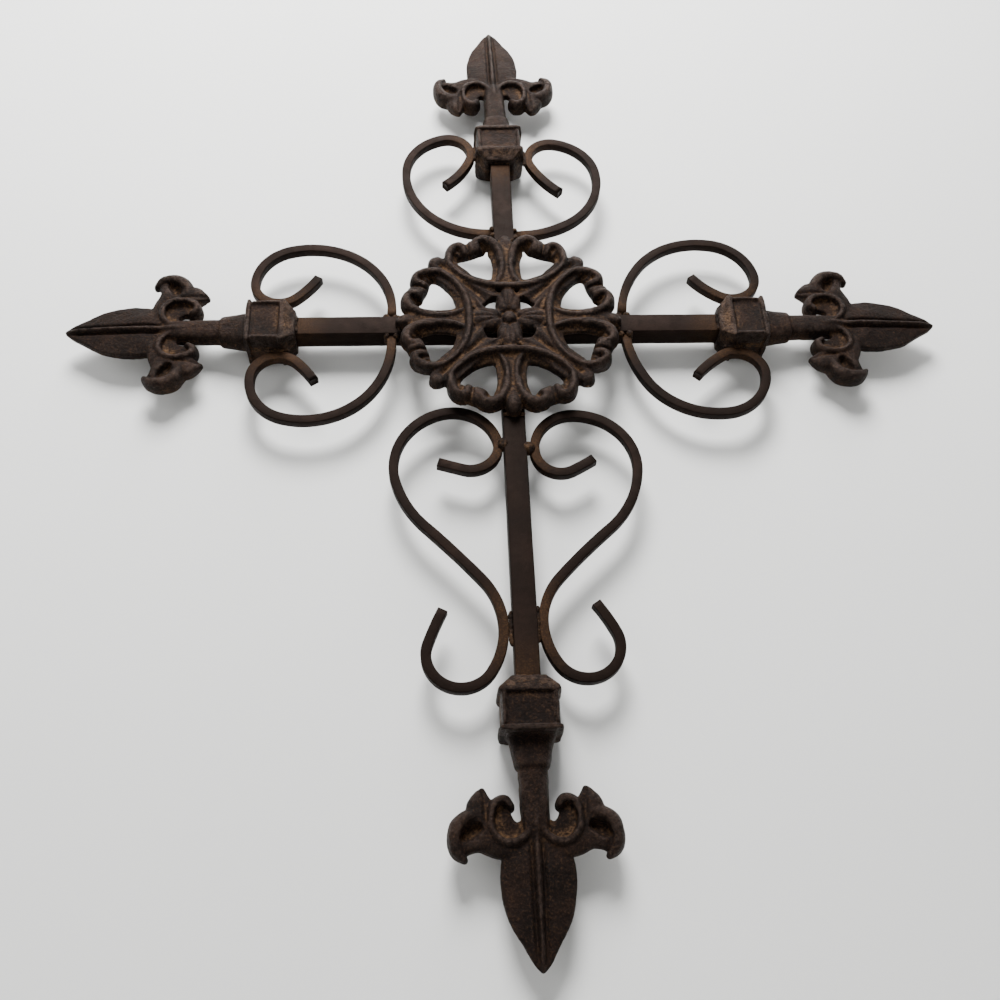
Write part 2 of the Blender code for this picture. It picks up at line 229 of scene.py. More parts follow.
def through(rows, parts=6):
    """A smooth run of rows through the given ones."""
    rows = np.array(rows, float)
    padded = np.vstack([2 * rows[0] - rows[1], rows, 2 * rows[-1] - rows[-2]])
    out = []
    for k in range(1, len(padded) - 2):
        a, b, c, d = padded[k - 1:k + 3]
        for t in np.arange(parts) / parts:
            out.append(0.5 * (2 * b + (c - a) * t + (2 * a - 5 * b + 4 * c - d) * t ** 2
                              + (3 * b - a - 3 * c + d) * t ** 3))
    out.append(rows[-1])
    return np.array(out)


def limb(place, rows, parts=6):
    """Distance past a limb's edge, the place across it from -1 to 1, and its height. Rows are
    (across, along, half width, height)."""
    u, v = place
    past = np.full(u.shape, 99.0)
    side = np.zeros(u.shape)
    high = np.zeros(u.shape)
    rows = through(rows, parts)
    for a, b in zip(rows, rows[1:]):
        run = b[:2] - a[:2]
        length = max(np.hypot(*run), 1e-6)
        du, dv = u - a[0], v - a[1]
        t = np.clip((du * run[0] + dv * run[1]) / length ** 2, 0, 1)
        du, dv = du - t * run[0], dv - t * run[1]
        half = np.maximum(a[2] + t * (b[2] - a[2]), 0.2)
        far = np.hypot(du, dv)
        nearer = far - half < past
        past = np.where(nearer, far - half, past)
        lean = np.sign(run[0] * dv - run[1] * du)
        side = np.where(nearer, lean * far / half, side)
        high = np.where(nearer, a[3] + t * (b[3] - a[3]), high)
    return past, side, high


def either(a, b, soft):
    """The higher of two heights, with a filleted valley between them."""
    return np.maximum(a, b) + np.maximum(soft - np.abs(a - b), 0) ** 2 / (4 * soft)


def nearest(a, b, soft):
    """The smaller of two distances, with a filleted corner between them."""
    return -either(-a, -b, soft)


def crown(side, edge=0.0):
    """Rounded profile across a limb, from its edge's share of the height to its full height."""
    return edge + (1 - edge) * np.sqrt(np.clip(1 - side ** 2, 0, 1))


def softened(field, cells):
    """The field blurred over a few cells."""
    reach = int(3 * cells) + 1
    weights = np.exp(-0.5 * (np.arange(-reach, reach + 1) / cells) ** 2)
    weights /= weights.sum()
    for axis in (0, 1):
        pad = [(reach, reach) if k == axis else (0, 0) for k in (0, 1)]
        spread = np.pad(field, pad, mode="edge")
        field = sum(w * np.take(spread, range(k, k + field.shape[axis]), axis)
                    for k, w in enumerate(weights))
    return field


def steepness(field, step):
    """How much longer the surface of heights is than the sheet under it."""
    du, dv = np.gradient(field, step)
    return np.sqrt(1 + np.minimum(du ** 2 + dv ** 2, 16))


def skin(field, corner, step):
    """Points and four-sided faces of the surface where the field is zero, one point to a cell."""
    inside = field < 0
    cells = tuple(n - 1 for n in field.shape)
    total = np.zeros((int(np.prod(cells)), 3))
    count = np.zeros(len(total))
    rings = []
    for axis in range(3):
        low = tuple(slice(0, -1) if k == axis else slice(None) for k in range(3))
        high = tuple(slice(1, None) if k == axis else slice(None) for k in range(3))
        cut = inside[low] != inside[high]
        at = np.argwhere(cut)
        a, b = field[low][cut], field[high][cut]
        place = at.astype(float)
        place[:, axis] += a / (a - b)
        p, q = [k for k in range(3) if k != axis]
        ring = []
        for back_p, back_q in ((0, 0), (1, 0), (1, 1), (0, 1)):
            cell = at.copy()
            cell[:, p] -= back_p
            cell[:, q] -= back_q
            number = np.ravel_multi_index(tuple(cell.T), cells)
            for k in range(3):
                total[:, k] += np.bincount(number, place[:, k], len(total))
            count += np.bincount(number, minlength=len(total))
            ring.append(number)
        ring = np.stack(ring, 1)
        turned = inside[low][cut] == (axis == 1)
        ring[turned] = ring[turned][:, ::-1]
        rings.append(ring)
    used = count > 0
    points = np.array(corner) + step * total[used] / count[used][:, None]
    order = np.full(len(total), -1)
    order[used] = np.arange(used.sum())
    return points, order[np.vstack(rings)]


def relaxed(points, faces, rounds, share=0.5):
    """The points drawn towards their neighbours' middle."""
    ends = np.vstack([faces[:, [k, (k + 1) % 4]] for k in range(4)])
    ends = np.vstack([ends, ends[:, ::-1]])
    count = np.bincount(ends[:, 0], minlength=len(points))
    for _ in range(rounds):
        middle = np.stack([np.bincount(ends[:, 0], points[ends[:, 1], k], len(points)) for k in range(3)], 1)
        points = points + share * (middle / count[:, None] - points)
    return points


def make_mesh(name, points, faces, rough=(), millimetres=True):
    """A smooth-shaded mesh. Rough lists (grain, depth) in millimetres of uneven surface."""
    mesh = bpy.data.meshes.new(name)
    mesh.from_pydata([tuple(p) for p in points], [], [tuple(int(i) for i in f) for f in faces])
    mesh.update()
    if rough:
        normals = np.zeros(len(points) * 3)
        mesh.vertices.foreach_get("normal", normals)
        normals = normals.reshape(-1, 3)
        lift = np.zeros(len(points))
        for grain, depth in rough:
            size = 1 / grain if millimetres else 1000 / grain
            tall = depth if millimetres else depth / 1000
            lift += [tall * noise.noise(Vector(p) * size) for p in points]
        points = points + normals * lift[:, None]
    if millimetres:
        points = points / 1000
    mesh.vertices.foreach_set("co", points.ravel())
    mesh.shade_smooth()
    mesh.update()
    return mesh


def give(mesh, name, values):
    """Stores a value at each point of a mesh, for its material to read."""
    attribute = mesh.attributes.new(name, "FLOAT", "POINT")
    attribute.data.foreach_set("value", np.asarray(values, np.float32))


def show(name, mesh, material, nodes):
    """A piece in the scene that rides on the one body and stands for its solids."""
    piece = bpy.data.objects.new(name, mesh)
    bpy.context.scene.collection.objects.link(piece)
    mesh.materials.append(material)
    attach(piece, "root")
    if nodes:
        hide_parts(*nodes)


def wear(height, step):
    """Shares of hollow and of ridge over a sheet, from its height against that around it."""
    reach, full_hollow, full_ridge = 2.6, 1.7, 1.1
    lower = softened(height, reach / step) - height
    return np.clip(lower / full_hollow + 0.05, 0, 1), np.clip(-lower / full_ridge, 0, 1)


def picked(values, place, low, step):
    """Values of a sheet at the given places."""
    index = [np.clip(((place[:, k] - low[k]) / step).round().astype(int), 0, values.shape[k] - 1)
             for k in (0, 1)]
    return values[index[0], index[1]]


# Rosette, one quarter drawn as (out, aside, half width, height) and turned for the others

HORSESHOE = [(26.0, 0, 4.9, 9.0), (26.7, 10.5, 4.8, 9.0), (30.0, 20.6, 4.5, 8.9), (35.8, 28.6, 4.3, 8.8),
             (42.2, 33.3, 4.0, 8.8), (48.0, 33.8, 4.2, 8.9), (51.0, 31.8, 5.0, 8.8)]
HOOK = [(44, 34.8, 2.6, 8.8), (49.6, 34.6, 3.2, 9.0), (53.6, 32.4, 4.0, 9.1), (55.2, 28.6, 4.2, 9.0),
        (53.4, 26.0, 3.4, 8.6), (50.6, 26.6, 2.2, 7.6)]
JOINT = [(51.5, 27.5, 4.4, 8.2), (54.4, 22.4, 5.6, 8.0), (56.6, 17.0, 5.2, 8.3)]
STEM = [(27, 8.6, 2.8, 6.4), (30, 6.9, 3.4, 7.2), (34, 5.5, 3.8, 7.2), (41, 4.6, 4.0, 7.2),
        (48.5, 5.0, 4.3, 7.4), (53, 6.6, 4.4, 7.8)]
CURL = [(44, 3.6, 2.4, 7.0), (51, 4.4, 3.0, 7.8), (56.2, 6.4, 3.6, 8.7), (59.6, 9.6, 4.2, 9.0),
        (60.6, 13.8, 4.4, 9.1), (58.8, 17.4, 4.2, 9.0), (55.6, 18.0, 3.4, 8.5), (53.8, 15.4, 2.4, 7.4)]
SPINE = [(27, 0, 3.6, 5.2), (40, 0, 3.2, 5.4), (56, 0, 4.6, 5.6)]
BUD = [(49, 0, 1.6, 5.6), (54, 0, 3.2, 7.0), (60, 0, 4.9, 8.8), (63.4, 0, 4.3, 8.2), (66, 0, 2.0, 5.0)]
BUD_SHARES = (0.6, 0.75, 1.0, 0.75)
LONG_PETAL = [(4, 0, 4.6, 7.2), (8.5, 0, 7.2, 8.2), (12.5, 0, 7.6, 8.7), (16.5, 0, 5.6, 8.8),
              (19.5, 0, 3.0, 8.4), (21.4, 0, 1.0, 7.6)]
WIDE_PETAL = [(4, 0, 4.6, 7.0), (8, 0, 6.6, 7.8), (12, 0, 8.4, 8.6), (15.5, 0, 7.8, 8.7), (18.4, 0, 4.6, 8.4),
              (20.4, 0, 1.6, 7.8)]


def crease(place, start, end, width, depth):
    """A rounded groove from one place to another, to take off a height."""
    side = limb(place, [(*start, width, 1), (*end, width, 1)], 1)[1]
    return depth * np.exp(-side ** 2)


def rosette_quarter(out, aside):
    """Outline and height of the limbs that each quarter has alike."""
    plan, side, high = limb((out, aside), [(r, -s, w, h) for r, s, w, h in HORSESHOE[:0:-1]] + HORSESHOE)
    ridge = np.interp(side, [-1, -0.7, -0.35, -0.12, 0.08, 0.3, 0.55, 0.8, 1],
                      [0.36, 0.42, 0.5, 0.58, 0.86, 0.98, 1.0, 0.92, 0.7])
    height = np.where(plan < 1.5, high * ridge, -9)
    for way in (1, -1):
        place = (out, way * aside)
        past, side, high = limb(place, STEM)
        ridge = np.interp(side, [-1, -0.8, -0.5, -0.2, 0.05, 0.3, 1],
                          [0.74, 0.94, 1.0, 0.9, 0.58, 0.44, 0.36])
        plan = nearest(plan, past, 1.0)
        height = either(height, np.where(past < 1.5, high * ridge, -9), 0.6)
        for rows, edge in ((JOINT, 0.5), (HOOK, 0.2), (CURL, 0.2)):
            past, side, high = limb(place, rows)
            plan = nearest(plan, past, 0.8)
            height = either(height, np.where(past < 1, high * crown(side, edge), -9), 0.5)
        height -= crease(place, (48.6, 22.6), (59.6, 24.4), 0.9, 2.4)
        height -= crease(place, (49.8, 11.8), (56.6, 14.8), 1.5, 4.4)
        height -= crease(place, (47.6, 27.2), (52.4, 29.8), 1.2, 3.0)
    past, side, high = limb((out, aside), SPINE)
    plan = nearest(plan, past, 0.8)
    height = either(height, np.where(past < 1, high, -9), 0.6)
    return plan, height


def rosette_piece(material):
    """Casting of four horseshoe bands, hooked stems, buds, webs and a four-petalled flower."""
    step = 0.635
    edge = 110 * step
    u, v = sheet((-edge, -edge), (edge, edge), step)
    plan, height = rosette_quarter(v, u)
    whole, top = np.full(u.shape, 99.0), np.full(u.shape, -9.0)
    for quarter in range(4):
        whole = nearest(whole, np.rot90(plan, quarter), 0.8)
        top = either(top, np.rot90(height, quarter), 0.4)
    for quarter, share in enumerate(BUD_SHARES):
        bud, side, high = limb((v, u), BUD)
        bud, high = np.rot90(bud, quarter), np.rot90(high * crown(side, 0.2), quarter) * share
        whole = nearest(whole, bud, 0.8)
        top = either(top, np.where(bud < 1, high, -9), 0.4)
        petal, side, high = limb((v, u), WIDE_PETAL if quarter % 2 else LONG_PETAL)
        veins = 1.4 * np.exp(-(u / 0.6) ** 2) + 1.1 * np.exp(-((np.abs(u) - 0.32 * v + 1.0) / 0.6) ** 2)
        leaf = high * crown(side, 0.35) - veins * (v > 5)
        petal, leaf = np.rot90(petal, quarter), np.rot90(leaf, quarter)
        whole = nearest(whole, petal, 0.6)
        top = either(top, np.where(petal < 0.8, leaf, -9), 0.4)
    for turn in (45, 135, 225, 315):
        c, s = cos(radians(turn)), sin(radians(turn))
        out, aside = v * c + u * s, u * c - v * s
        wide = np.interp(out, [18, 26, 38, 51, 57, 61], [10.0, 9.0, 7.4, 7.8, 6.6, 4.6])
        web = np.maximum(np.abs(aside) - wide, np.maximum(18.4 - 0.06 * aside ** 2 - out, out - 62))
        knob = np.hypot(out - 61.4, aside) - 4.9
        fork = np.abs(aside) - np.interp(out, [18, 30, 60], [5.4, 2.6, 2.6])
        strand = 5.6 + 1.5 * np.exp(-(fork / 1.5) ** 2) - 1.2 * np.exp(-(aside / 1.2) ** 2)
        whole = nearest(nearest(whole, web, 1.0), knob, 1.0)
        top = either(top, np.where(web < 1.5, strand, -9), 0.8)
        top = either(top, np.where(knob < 1, 7.4 * crown(knob / 4.9 + 1, 0.3), -9), 0.6)
    eye = np.hypot(u, v)
    top = top - 1.8 * np.exp(-((eye - 4.8) / 0.7) ** 2)
    top = either(top, np.where(eye < 4.2, 5.9 + 2.6 * crown(eye / 4.2), -9), 0.3)
    top = softened(np.where(top > 0, np.minimum(top, 9.05), 1.2), 0.75)
    whole = softened(whole, 0.8)

    levels = np.arange(-2 * step, 10.4, step)
    slope = steepness(top, step)
    field = (levels[None, None, :] - top[..., None]) / slope[..., None]
    field = either(field, (whole[..., None] + 0.05 * levels), 0.8)
    field = np.maximum(field, -levels)
    points, faces = skin(field, (-edge, -edge, levels[0]), step)
    points = relaxed(points, faces, 1, 0.4)
    hollow, ridge = wear(np.where(whole < 0.3, top, 2.0), step)
    front = points[:, 2] > 0.8
    flat = points[:, :2]
    hollow, ridge = (np.where(front, picked(x, flat, (-edge, -edge), step), 0.3) for x in (hollow, ridge))
    turned = np.stack([points[:, 0], -points[:, 2] - 1000 * (BAR + GAP), points[:, 1]], 1)
    mesh = make_mesh("rosette", turned, faces, [(5.0, 0.22), (1.5, 0.12)])
    give(mesh, "hollow", hollow)
    give(mesh, "ridge", ridge * front)
    show("cast_rosette", mesh, material, ["rosette"])


# Finial, drawn as (across, down from the tip, half width, half depth), one side mirrored

LEAF = [(0, 1.3, 1.3, 2.4), (0, 8, 5.6, 3.2), (0, 18, 10.5, 3.8), (0, 28, 15.5, 4.4), (0, 38, 17.6, 4.8),
        (0, 46, 16.9, 5.0), (0, 52, 13.4, 5.0), (0, 57, 9.0, 5.0)]
RIM = [(1, 66.6, 2.4, 5.6), (5.2, 59.2, 2.9, 6.0), (12, 56.0, 3.0, 6.4), (18.7, 59, 3.0, 6.6),
       (21.2, 66.5, 2.9, 6.6), (18.8, 74.0, 3.0, 6.4), (14.6, 75.9, 3.1, 6.2), (12.2, 73.2, 2.7, 5.6)]
DISH = [(3, 66, 2.4, 2.6), (9.5, 61.2, 4.4, 2.6), (15.2, 64, 5.8, 2.6), (16.5, 70, 4.8, 2.8),
        (14.4, 74.5, 2.8, 2.8)]
SPUR = [(22, 61, 4.4, 5.0), (25.8, 70.5, 7.0, 5.4), (25.9, 76.5, 4.4, 4.6), (24.9, 81, 1.5, 2.8)]
CLAW = [(25, 69.6, 3.4, 5.4), (30.8, 69.0, 3.9, 6.2), (36.2, 65.2, 4.2, 6.6), (38.2, 59.0, 3.8, 6.4),
        (37.4, 53.4, 3.2, 5.4), (34.0, 49.6, 1.7, 3.4)]
PALM = [(11.5, 52.5, 3.8, 4.4), (18, 55.6, 5.8, 5.0), (26, 58.6, 5.6, 5.2), (31.4, 56.4, 4.0, 4.6),
        (33, 53.6, 2.0, 3.6)]
SHELL = [(27.6, 63, 2.8, 4.2), (33.2, 60.4, 3.9, 3.4)]
SLOT = [(8.9, 68.4, 1.9, 1), (8.7, 72.0, 0.8, 1), (8.9, 80.0, 1.2, 1)]


def finial_field(step, low, high):
    """Front and back half depths, and the outline, of the finial over a sheet."""
    place = sheet(low, high, step)
    u, v = np.abs(place[0]), place[1]

    plan, side, tall = limb((place[0], v), LEAF)
    slant = 0.46 + 0.54 * np.clip(1 - np.abs(side), 0, 1) ** 0.8
    front = np.where(plan < 1.5, tall * slant, -9)
    back = np.where(plan < 1.5, tall * slant, -9)
    narrow = 0.72 + 0.28 * np.clip(v / 40, 0, 1)
    ends = np.clip((59 - v) / 6, 0, 1) * np.clip((v - 1) / 8, 0, 1)
    rib = 1.5 * np.exp(-(u / (1.4 * narrow)) ** 4)
    groove = 1.9 * np.exp(-((u - 2.7 * narrow) / 0.9) ** 2)
    front += ends * (rib - groove)
    front += 0.9 * np.exp(-((u - 9.0) / 6.5) ** 2 - ((v - 46) / 9) ** 2)

    for rows, edge, fillet in ((PALM, 0.5, 0.8), (SHELL, 0.9, 0.5), (SPUR, 0.4, 0.8), (CLAW, 0.2, 0.5),
                               (DISH, 1.0, 0.5), (RIM, 0.2, 0.5)):
        past, side, tall = limb((u, v), rows)
        plan = nearest(plan, past, 0.7)
        here = past < 1.0
        front = either(front, np.where(here, tall * crown(side, edge), -9), fillet)
        back = either(back, np.where(here, (tall - 0.6) * crown(side, max(edge, 0.5)), -9), fillet)
    past = limb((u, v), SHELL)[0]
    claw = limb((u, v), CLAW)[0]
    rim = limb((u, v), RIM)[0]
    sunk = (past < 0) & (claw > -1.0) & (rim > -0.5)
    front = np.where(sunk, np.minimum(front, 1.2 + 3.6 * np.clip(1 + past / 2.2, 0, 1) ** 2), front)
    pan = limb((u, v), DISH)[0]
    sunk = (pan < 0) & (rim > -1.2)
    front = np.where(sunk, np.minimum(front, 2.2 + 1.2 * np.clip(1 + rim, 0, 1)), front)
    front -= crease((u, v), (24.6, 80.0), (23.2, 66.0), 1.1, 1.2)
    notch = limb((u, v), SLOT)[0]

    levels = [57, 62, 68, 90.6, 91.0, 92.2, 100, 107.4]
    neck_wide = np.interp(v, levels, [5.2, 6.6, 7.0, 7.5, 8.6, 9.0, 10.4, 12.4])
    neck_deep = np.interp(v, levels, [4.2, 5.8, 6.2, 6.2, 7.0, 7.4, 7.6, 7.4])
    collar = np.array(COLLAR)
    collar_wide, collar_deep = (np.interp(v, collar[:, 0], collar[:, k]) for k in (1, 2))
    for start, end, wide, deep, square in ((57, 108, neck_wide, neck_deep, 2.8),
                                           (107.2, 135.7, collar_wide, collar_deep, 14.0)):
        past = np.maximum(np.maximum(u - wide, start - v), v - end)
        bulge = deep * np.clip(1 - np.clip(u / wide, 0, 1) ** square, 0, 1) ** (1 / square)
        plan = nearest(plan, past, 0.4)
        here = (v > start - 1) & (v < end + 1) & (past < 1.5)
        front = either(front, np.where(here, np.maximum(bulge, 1.0), -9), 0.4)
        back = either(back, np.where(here, np.maximum(bulge, 1.0), -9), 0.4)
    front += 1.3 * np.exp(-(u / 1.5) ** 2) * np.clip((v - 55) / 4, 0, 1) * np.clip((74 - v) / 10, 0, 1)
    front += 1.7 * np.exp(-((u - 13.0) / 1.3) ** 4) * ((v > 110.2) & (v < 126.0))
    plan = either(plan, -notch, 0.3)
    front, back = (softened(np.where(x > 0, x, 1.0), 0.6) for x in (front, back))
    return plan, front, back


def finial_pieces(material):
    """The finial casting, four times from one mould, each with its own uneven skin."""
    step = 0.55
    low, high = (-45.1, -2.75), (45.1, 139.15)
    plan, front, back = finial_field(step, low, high)
    levels = np.arange(-15.4, 15.5, step)
    field = (levels - front[..., None]) / steepness(front, step)[..., None]
    field = either(field, (-levels - back[..., None]) / steepness(back, step)[..., None], 0.6)
    u, v = sheet(low, high, step)
    worn = np.interp(v, [50, 58, 104, 106], [0.55, 1.1, 1.1, 0.45])[..., None]
    field = either(field, plan[..., None] + 0 * levels, worn)
    bore = np.maximum(np.maximum(np.abs(u)[..., None] - 6.65, np.abs(levels) - 6.65), 131.4 - v[..., None])
    field = np.maximum(field, -bore)
    field[:, -1, :] = 5.0
    points, faces = skin(field, (low[0], low[1], levels[0]), step)
    points = relaxed(points, faces, 1, 0.4)
    hollow, ridge = wear(np.where(plan < 0.3, front, 0.5), step)
    # Painted shade: the rust is taken off the neck just under the collar's lower flange and off the flange's
    # underside, so the dark wax there stands for the shade that falls under it
    hollow = hollow * np.interp(v, [52, 60, 102, 104, 108.6, 109.6], [0.2, 0.9, 0.7, 0.0, 0.0, 0.95])
    hollow = hollow * np.interp(np.abs(u), [22, 27], [1.0, 0.55])
    hollow = np.maximum(hollow, 0.42 * np.exp(-((v - 131.5) / 3.5) ** 2))
    face = points[:, 2] > 0.5
    hollow, ridge = (np.where(face, picked(x, points[:, :2], low, step), 0.25) for x in (hollow, ridge))
    points = np.stack([points[:, 0], -points[:, 2], FINIAL_LENGTH * 1000 - points[:, 1]], 1)
    names = {"top": "top_finial", "right": "right_finial", "foot": "bottom_finial", "left": "left_finial"}
    for arm, name in names.items():
        turn = Matrix.Rotation(radians(TURNS[arm] + LEANS.get(arm, 0)), 3, "Y")
        mouth = arm_matrix(arm) @ Vector((0, 0, REACHES[arm] - FINIAL_LENGTH))
        placed = points @ np.array(turn).T + 1000 * np.array(mouth)
        mesh = make_mesh(name, placed, faces[:, ::-1], [(6.0, 0.28), (1.6, 0.12)])
        give(mesh, "hollow", hollow)
        give(mesh, "ridge", ridge * face)
        show("cast_" + name, mesh, material, [name])


# Bars and rods

def rounded_square(width, radius, arc=3):
    """Section with worn corners, as points (across, forward)."""
    half = width / 2 - radius
    points = []
    for k in range(4):
        middle = pi / 2 * k + pi / 4
        centre = Vector((cos(middle), sin(middle))) * half * 2 ** 0.5
        for j in range(arc + 1):
            angle = pi / 2 * k + pi / 2 * j / arc
            points.append(centre + Vector((cos(angle), sin(angle))) * radius)
    return points


def swept(line, width, radius):
    """Points and faces of rounded square stock along (place, across, forward) stations, ends dressed."""
    section = rounded_square(width, radius)
    count = len(section)
    stations = [(line[0], 0.82)] + [(station, 1.0) for station in line] + [(line[-1], 0.82)]
    trim = min(radius, width * 0.09)
    points = []
    for k, ((place, across, forward), share) in enumerate(stations):
        ahead = across.cross(forward).normalized()
        shift = 0.0
        if k == 1:
            shift = trim
        elif k == len(stations) - 2:
            shift = -trim
        for a, f in section:
            points.append(place + ahead * shift + across * (a * share) + forward * (f * share))
    faces = []
    for k in range(len(stations) - 1):
        for j in range(count):
            n = (j + 1) % count
            faces.append((k * count + j, k * count + n, (k + 1) * count + n, (k + 1) * count + j))
    faces.append(tuple(reversed(range(count))))
    faces.append(tuple((len(stations) - 1) * count + j for j in range(count)))
    return np.array([tuple(p) for p in points]), faces


def stock_piece(name, solid, line, width, radius, material, welds):
    """A bar or rod, browned by heat around its welds."""
    points, faces = swept(line, width, radius)
    mesh = make_mesh(name, points, faces, [(18.0, 0.12), (3.0, 0.04)], millimetres=False)
    near = np.full(len(points), 9.0)
    for weld in welds:
        near = np.minimum(near, np.linalg.norm(points - np.array(weld), axis=1))
    give(mesh, "ridge", np.full(len(points), 0.6))
    give(mesh, "weld_heat", np.exp(-(near / HEAT_REACH) ** 2))
    show(name, mesh, material, [solid])


def bent(bends, turn_step=3, run_step=0.0025):
    """Centreline of a bent rod from its free end, as places and headings."""
    x = y = heading = 0.0
    line = [(x, y, heading)]
    for length, turn in bends:
        steps = max(ceil(abs(turn) / turn_step), ceil(length / run_step))
        for _ in range(steps):
            heading += radians(turn) / steps / 2
            x += length / steps * cos(heading)
            y += length / steps * sin(heading)
            heading += radians(turn) / steps / 2
            line.append((x, y, heading))
    return line


def scroll_line(arm, start, lean, stand_off, bends):
    """The scroll's centreline as (out along the arm, away from it, heading), as the solid has it."""
    line = bent(bends)
    c, s = cos(radians(lean)), sin(radians(lean))
    turned = [(x * c - y * s, x * s + y * c, heading + radians(lean)) for x, y, heading in line]
    near, clear = len(turned) * 2 // 3, FLANGE_EDGE + ROD / 2 + stand_off
    if arm == "foot":
        near, clear = len(turned), (BAR + ROD) / 2 + stand_off
    lowest = min(y for _, y, _ in turned[:near])
    line = [(x + start - turned[0][0], y + clear - lowest, heading) for x, y, heading in turned]
    if arm == "foot":
        return line
    while line[-1][1] < BAR / 2 + ROD:
        line.pop()
    x, y, heading = line[-1]
    foot = BAR / 2 + GAP + abs(cos(heading)) * ROD / 2
    run = (y - foot) / -sin(heading)
    return line + [(x + run * cos(heading), y + run * sin(heading), heading)]


def arm_matrix(arm):
    """Places an arm's own frame, with +Z out along it and the middle of its bar at y = 0."""
    return Matrix.Translation((0, -BAR / 2, 0)) @ Matrix.Rotation(radians(TURNS[arm]), 4, "Y")


def scroll_seams(arm, side, line):
    """Welds that hold a scroll, as bead sizes in millimetres and places in the arm's own frame."""
    count = len(line)
    spans = [(line[:count * 2 // 3], SEAM)]
    if arm == "foot":
        spans = [(line[:count * 2 // 5], BUTTON), (line[count * 2 // 5:], SEAM)]
    wall = BAR / 2 if arm == "foot" else FLANGE_EDGE
    seams = []
    for span, size in spans:
        low = min(away for _, away, _ in span)
        near = [out for out, away, _ in span if away < low + 0.0011]
        middle, reach = (min(near) + max(near)) / 2, (max(near) - min(near)) / 2
        reach = min(reach, 0.001 if size == BUTTON else 0.01)
        x = side * (wall + low - ROD / 2) / 2
        y = -0.0038 if size == BUTTON else -0.004
        seams.append((size, [(x, y, z) for z in np.linspace(middle - reach, middle + reach, 8)]))
    if arm != "foot":
        for way in (-1, 1):
            z = line[-1][0] + way * ROD * 0.5
            x = side * (BAR / 2 + 0.0006)
            seams.append((FILLET, [(x, y, z) for y in (-0.0046, -0.002, 0.0004)]))
    return seams


def scroll_pieces(material):
    """Bent rods, and the places where each is welded, as short runs with the bead's size."""
    seams = []
    for name, (arm, side, start, lean, stand_off, bends) in SCROLLS.items():
        matrix = arm_matrix(arm)
        turn = matrix.to_3x3()
        line = scroll_line(arm, start, lean, stand_off, bends)
        stations = []
        for out, away, heading in line:
            across = turn @ Vector((side * cos(heading), 0, -sin(heading)))
            place = matrix @ Vector((side * away, -ROD_FORWARD, out))
            stations.append((place, across * side, turn @ Vector((0, -1, 0))))
        beads = scroll_seams(arm, side, line)
        seams += [(size, [matrix @ Vector(p) for p in places]) for size, places in beads]
        own = [matrix @ Vector(p) for _, places in beads for p in places]
        stock_piece("bent_" + name, name, stations, ROD, 0.0005, material, own)
    return seams


def joint_seams():
    """Welds in front of each collar's mouth and where the rosette's rim crosses the bars."""
    seams = []
    for arm, reach in REACHES.items():
        for out, y in ((reach - FINIAL_LENGTH, -BAR / 2 - 0.0002), (0.0655, -BAR / 2 - 0.0004)):
            run = [arm_matrix(arm) @ Vector((x, y, out)) for x in np.linspace(-0.0056, 0.0056, 8)]
            seams.append((MOUTH_BEAD, run))
    return seams


def bar_pieces(material):
    """The three straight bars, browned beside the collars' mouths."""
    mouths = [arm_matrix(arm) @ Vector((0, 0, reach - FINIAL_LENGTH)) for arm, reach in REACHES.items()]
    for name in ("upright_bar", "left_arm_bar", "right_arm_bar"):
        low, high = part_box(name)
        axis = 2 if name == "upright_bar" else 0
        ahead = Vector((0, 0, 1)) if axis == 2 else Vector((1, 0, 0))
        across = Vector((1, 0, 0)) if axis == 2 else Vector((0, 0, -1))
        middle = (low + high) / 2
        steps = ceil((high[axis] - low[axis]) / 0.004)
        stations = []
        for k in range(steps + 1):
            place = middle.copy()
            place[axis] = low[axis] + (high[axis] - low[axis]) * k / steps
            stations.append((place, across, ahead.cross(across)))
        stock_piece("worn_" + name, name, stations, BAR, 0.0006, material, mouths)


def weld_piece(seams, material):
    """Beads of weld metal run along the seams, lumpy where the puddles overlap."""
    rng = np.random.default_rng(7)
    all_points, all_faces = [], []
    step = 0.45
    for radius, seam in seams:
        run = np.array([tuple(p) for p in seam]) * 1000
        puddles = through(run, 3)
        sizes = radius * (0.85 + 0.3 * rng.random(len(puddles)))
        puddles = puddles + rng.normal(0, 0.2, puddles.shape)
        low = puddles.min(0) - 1.2 * radius - 2 * step
        counts = np.ceil((puddles.max(0) + 1.2 * radius + 2 * step - low) / step).astype(int) + 1
        axes = [low[k] + step * np.arange(counts[k]) for k in range(3)]
        x, y, z = np.meshgrid(*axes, indexing="ij")
        field = np.full(x.shape, 99.0)
        for (a, b, c), size in zip(puddles, sizes):
            field = nearest(field, np.sqrt((x - a) ** 2 + (y - b) ** 2 + (z - c) ** 2) - size, 0.6)
        points, faces = skin(field, low, step)
        all_faces.append(faces + sum(len(p) for p in all_points))
        all_points.append(points)
    points, faces = np.vstack(all_points), np.vstack(all_faces)
    mesh = make_mesh("weld_beads", points, faces, [(1.6, 0.25)])
    give(mesh, "hollow", np.full(len(points), 0.38))
    give(mesh, "ridge", np.full(len(points), 0.25))
    show("weld_beads", mesh, material, [])


# Stage, light and camera

